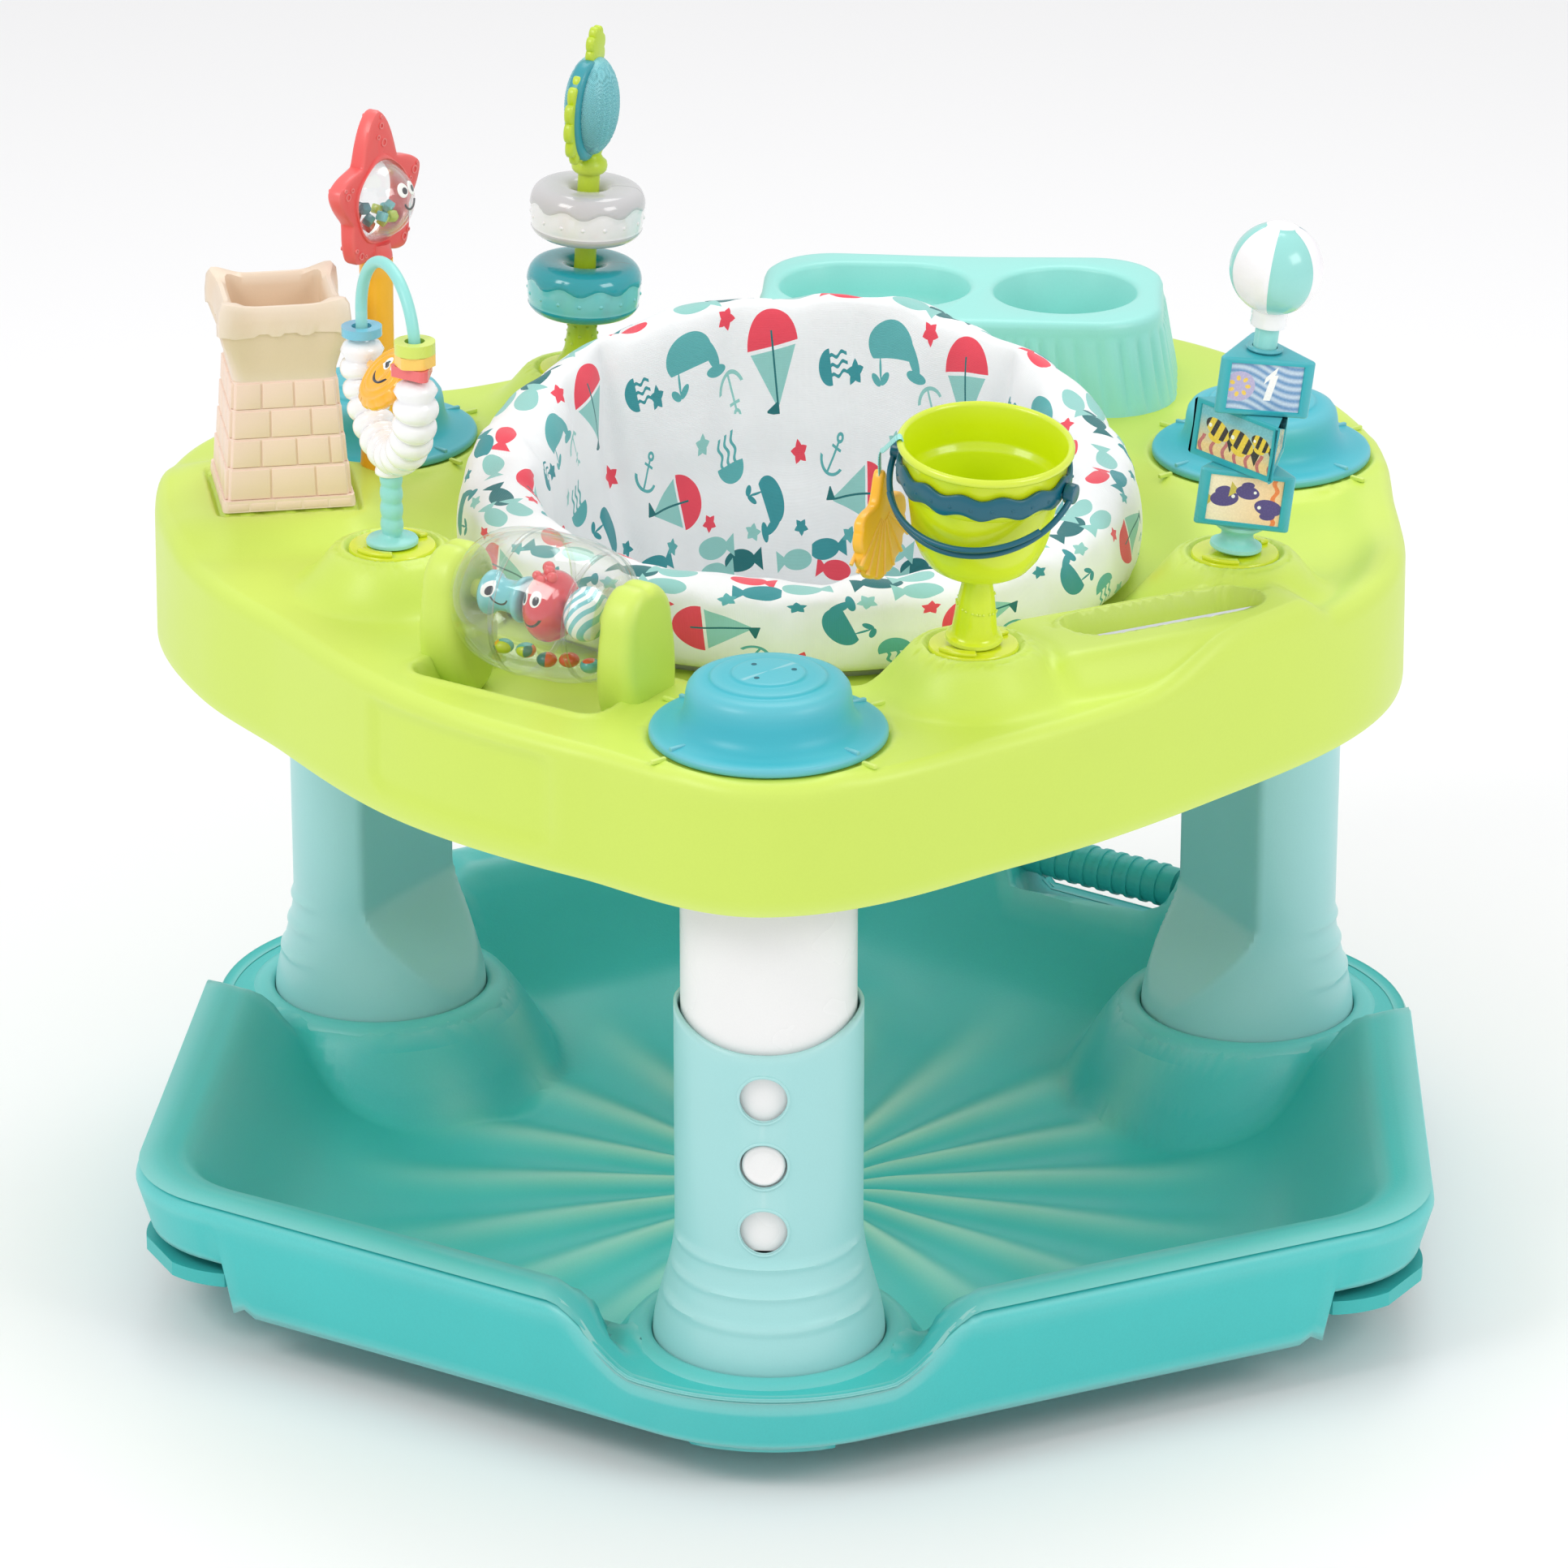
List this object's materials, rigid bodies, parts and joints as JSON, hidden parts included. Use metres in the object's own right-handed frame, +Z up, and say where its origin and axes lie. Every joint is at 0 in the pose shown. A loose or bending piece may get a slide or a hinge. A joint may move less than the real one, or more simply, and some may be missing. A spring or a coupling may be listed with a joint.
{
  "type": "activity jumper",
  "caption": "Three-legged baby activity saucer: bouncing base, height-adjustable toy tray, swivelling fabric seat, snack tray and spinning, rattling toys.",
  "frame": {"origin": "on the floor, at the middle of the base's flat underside, below the middle of the seat", "axes": "+Z up, -Y towards the single front leg, +X to the right seen from the front"},
  "size_m": [0.7196, 0.7789, 0.6289],
  "materials": {
    "base_teal": "satin moulded",
    "leg_aqua": "satin moulded",
    "tube_white": "satin moulded",
    "button_white": "gloss",
    "cap_blue": "satin moulded",
    "tray_lime": "satin moulded",
    "lock_yellow": "gloss",
    "food_aqua": "satin moulded",
    "castle_sand": "satin moulded",
    "mirror": "mirror",
    "ring_white": "satin",
    "seat_print": "printed woven polyester",
    "clear": "clear gloss",
    "figure_red": "gloss",
    "bead_mix": "gloss",
    "star_coral": "satin",
    "shell_yellow": "gloss",
    "stem_aqua": "gloss",
    "worm_white": "gloss",
    "bead_blue": "gloss",
    "bead_red": "gloss",
    "bead_yellow": "gloss",
    "ring_aqua": "gloss",
    "ring_grey": "gloss",
    "block_teal": "gloss",
    "ball_white": "gloss",
    "band_petrol": "gloss",
    "spring_steel": "zinc plated",
    "pin_steel": "zinc plated"
  },
  "bodies": {
    "base": {"base_saucer": "base_teal", "carry_grip": "base_teal", "stabilizer_pins": "pin_steel", "bounce_spring_front": "spring_steel", "bounce_spring_right": "spring_steel", "bounce_spring_left": "spring_steel"},
    "legs": {"lower_leg_front": "leg_aqua", "lower_leg_right": "leg_aqua", "lower_leg_left": "leg_aqua"},
    "tray": {"tray_shell": "tray_lime", "upper_leg_front": "tube_white", "upper_leg_right": "tube_white", "upper_leg_left": "tube_white", "toy_locks": "lock_yellow", "food_tray": "food_aqua", "castle_tower": "castle_sand", "castle_parapet": "castle_sand", "mirror_plate": "mirror", "seat_track": "ring_white", "drum_axle": "stem_aqua", "drum_beads": "bead_mix", "star_stem": "shell_yellow", "arch_stem": "stem_aqua", "worm": "worm_white", "arch_wire": "stem_aqua", "ring_stem_lime": "lock_yellow", "block_stem_aqua": "stem_aqua", "bucket_stem": "lock_yellow", "bucket": "lock_yellow", "bucket_band": "band_petrol"},
    "seat": {"seat_ring": "ring_white", "seat_fabric": "seat_print"},
    "drum": {"drum_shell": "clear", "drum_figures": "figure_red"},
    "star": {"star_body": "star_coral", "star_rattle": "clear"},
    "sun_disc": {"sun_disc": "shell_yellow"},
    "leg_button_front": {"leg_button_front": "button_white"},
    "leg_button_right": {"leg_button_right": "button_white"},
    "leg_button_left": {"leg_button_left": "button_white"},
    "leg_cap_front": {"leg_cap_front": "cap_blue"},
    "leg_cap_right": {"leg_cap_right": "cap_blue"},
    "leg_cap_left": {"leg_cap_left": "cap_blue"},
    "stabilizer_right": {"stabilizer_right": "base_teal"},
    "stabilizer_back": {"stabilizer_back": "base_teal"},
    "stabilizer_left": {"stabilizer_left": "base_teal"},
    "arch_ring_blue": {"arch_ring_blue": "bead_blue"},
    "arch_triangle_red": {"arch_triangle_red": "bead_red"},
    "arch_hexagon_yellow": {"arch_hexagon_yellow": "bead_yellow"},
    "arch_ring_lime": {"arch_ring_lime": "lock_yellow"},
    "rattle_ring_lower": {"rattle_ring_lower": "ring_aqua"},
    "rattle_ring_upper": {"rattle_ring_upper": "ring_grey"},
    "fish": {"fish": "stem_aqua"},
    "picture_block_low": {"picture_block_low": "block_teal"},
    "picture_block_middle": {"picture_block_middle": "block_teal"},
    "picture_block_top": {"picture_block_top": "block_teal"},
    "beach_ball": {"beach_ball": "ball_white"},
    "bucket_bail": {"bucket_bail": "band_petrol"},
    "shell_teether": {"shell_teether": "shell_yellow"}
  },
  "joints": [
    {"name": "bounce", "type": "slide", "parent": "base", "child": "legs", "axis": [0, 0, 1], "range_m": [-0.02, 0], "stiffness_N_per_m": 5000, "springref_m": 0.02, "deforming": ["bounce_spring_front", "bounce_spring_right", "bounce_spring_left"]},
    {"name": "height_adjust", "type": "slide", "parent": "legs", "child": "tray", "axis": [0, 0, 1], "range_m": [-0.038, 0.038]},
    {"name": "press_leg_button_front", "type": "slide", "parent": "tray", "child": "leg_button_front", "axis": [0, 1, 0], "range_m": [0, 0.004], "stiffness_N_per_m": 600, "springref_m": -0.003},
    {"name": "press_leg_button_right", "type": "slide", "parent": "tray", "child": "leg_button_right", "axis": [-0.866, -0.5, 0], "range_m": [0, 0.004], "stiffness_N_per_m": 600, "springref_m": -0.003},
    {"name": "press_leg_button_left", "type": "slide", "parent": "tray", "child": "leg_button_left", "axis": [0.866, -0.5, 0], "range_m": [0, 0.004], "stiffness_N_per_m": 600, "springref_m": -0.003},
    {"name": "turn_leg_cap_front", "type": "hinge", "parent": "tray", "child": "leg_cap_front", "pos_m": [0, -0.294, 0.4], "axis": [0, 0, 1], "range_deg": [0, 20]},
    {"name": "turn_leg_cap_right", "type": "hinge", "parent": "tray", "child": "leg_cap_right", "pos_m": [0.25461, 0.147, 0.4], "axis": [0, 0, 1], "range_deg": [0, 20]},
    {"name": "turn_leg_cap_left", "type": "hinge", "parent": "tray", "child": "leg_cap_left", "pos_m": [-0.25461, 0.147, 0.4], "axis": [0, 0, 1], "range_deg": [0, 20]},
    {"name": "fold_stabilizer_right", "type": "hinge", "parent": "base", "child": "stabilizer_right", "pos_m": [0.30311, -0.175, 0.045], "axis": [0.5, 0.866, 0], "range_deg": [0, 85]},
    {"name": "fold_stabilizer_back", "type": "hinge", "parent": "base", "child": "stabilizer_back", "pos_m": [0, 0.35, 0.045], "axis": [-1, 0, 0], "range_deg": [0, 85]},
    {"name": "fold_stabilizer_left", "type": "hinge", "parent": "base", "child": "stabilizer_left", "pos_m": [-0.30311, -0.175, 0.045], "axis": [0.5, -0.866, 0], "range_deg": [0, 85]},
    {"name": "seat_swivel", "type": "hinge", "parent": "tray", "child": "seat", "pos_m": [0, 0, 0.385], "axis": [0, 0, 1], "continuous": true},
    {"name": "drum_spin", "type": "hinge", "parent": "tray", "child": "drum", "pos_m": [-0.122, -0.207, 0.4355], "axis": [0.8704, -0.4924, 0], "continuous": true},
    {"name": "star_spin", "type": "hinge", "parent": "tray", "child": "star", "pos_m": [-0.24, 0.074, 0.532], "axis": [0, 0, 1], "continuous": true},
    {"name": "sun_disc_spin", "type": "hinge", "parent": "tray", "child": "sun_disc", "pos_m": [-0.2156, -0.091, 0.519], "axis": [0.4772, -0.8788, 0], "continuous": true},
    {"name": "spin_arch_ring_blue", "type": "hinge", "parent": "tray", "child": "arch_ring_blue", "pos_m": [-0.23349, -0.05804, 0.535], "axis": [0, 0, 1], "continuous": true},
    {"name": "spin_arch_triangle_red", "type": "hinge", "parent": "tray", "child": "arch_triangle_red", "pos_m": [-0.19771, -0.12396, 0.535], "axis": [0, 0, 1], "continuous": true},
    {"name": "spin_arch_hexagon_yellow", "type": "hinge", "parent": "tray", "child": "arch_hexagon_yellow", "pos_m": [-0.19771, -0.12396, 0.535], "axis": [0, 0, 1], "continuous": true},
    {"name": "spin_arch_ring_lime", "type": "hinge", "parent": "tray", "child": "arch_ring_lime", "pos_m": [-0.19771, -0.12396, 0.535], "axis": [0, 0, 1], "continuous": true},
    {"name": "spin_rattle_ring_lower", "type": "hinge", "parent": "tray", "child": "rattle_ring_lower", "pos_m": [-0.13591, 0.209, 0.46494], "axis": [0.0523, 0, 0.9986], "continuous": true},
    {"name": "spin_rattle_ring_upper", "type": "hinge", "parent": "tray", "child": "rattle_ring_upper", "pos_m": [-0.13591, 0.209, 0.46494], "axis": [0.0523, 0, 0.9986], "continuous": true},
    {"name": "spin_fish", "type": "hinge", "parent": "tray", "child": "fish", "pos_m": [-0.13591, 0.209, 0.46494], "axis": [0.0523, 0, 0.9986], "continuous": true},
    {"name": "spin_picture_block_low", "type": "hinge", "parent": "tray", "child": "picture_block_low", "pos_m": [0.24393, -0.076, 0.46474], "axis": [0.1132, 0, 0.9936], "continuous": true},
    {"name": "spin_picture_block_middle", "type": "hinge", "parent": "tray", "child": "picture_block_middle", "pos_m": [0.24393, -0.076, 0.46474], "axis": [0.1132, 0, 0.9936], "continuous": true},
    {"name": "spin_picture_block_top", "type": "hinge", "parent": "tray", "child": "picture_block_top", "pos_m": [0.24393, -0.076, 0.46474], "axis": [0.1132, 0, 0.9936], "continuous": true},
    {"name": "spin_beach_ball", "type": "hinge", "parent": "tray", "child": "beach_ball", "pos_m": [0.24393, -0.076, 0.46474], "axis": [0.1132, 0, 0.9936], "continuous": true},
    {"name": "bail_swing", "type": "hinge", "parent": "tray", "child": "bucket_bail", "pos_m": [0.10799, -0.23299, 0.52403], "axis": [-0.9248, 0.3684, 0.0949], "range_deg": [0, 215]},
    {"name": "teether_swing", "type": "hinge", "parent": "tray", "child": "shell_teether", "pos_m": [0.0535, -0.22, 0.528], "axis": [-0.1392, -0.9903, 0], "range_deg": [-60, 0]}
  ]
}
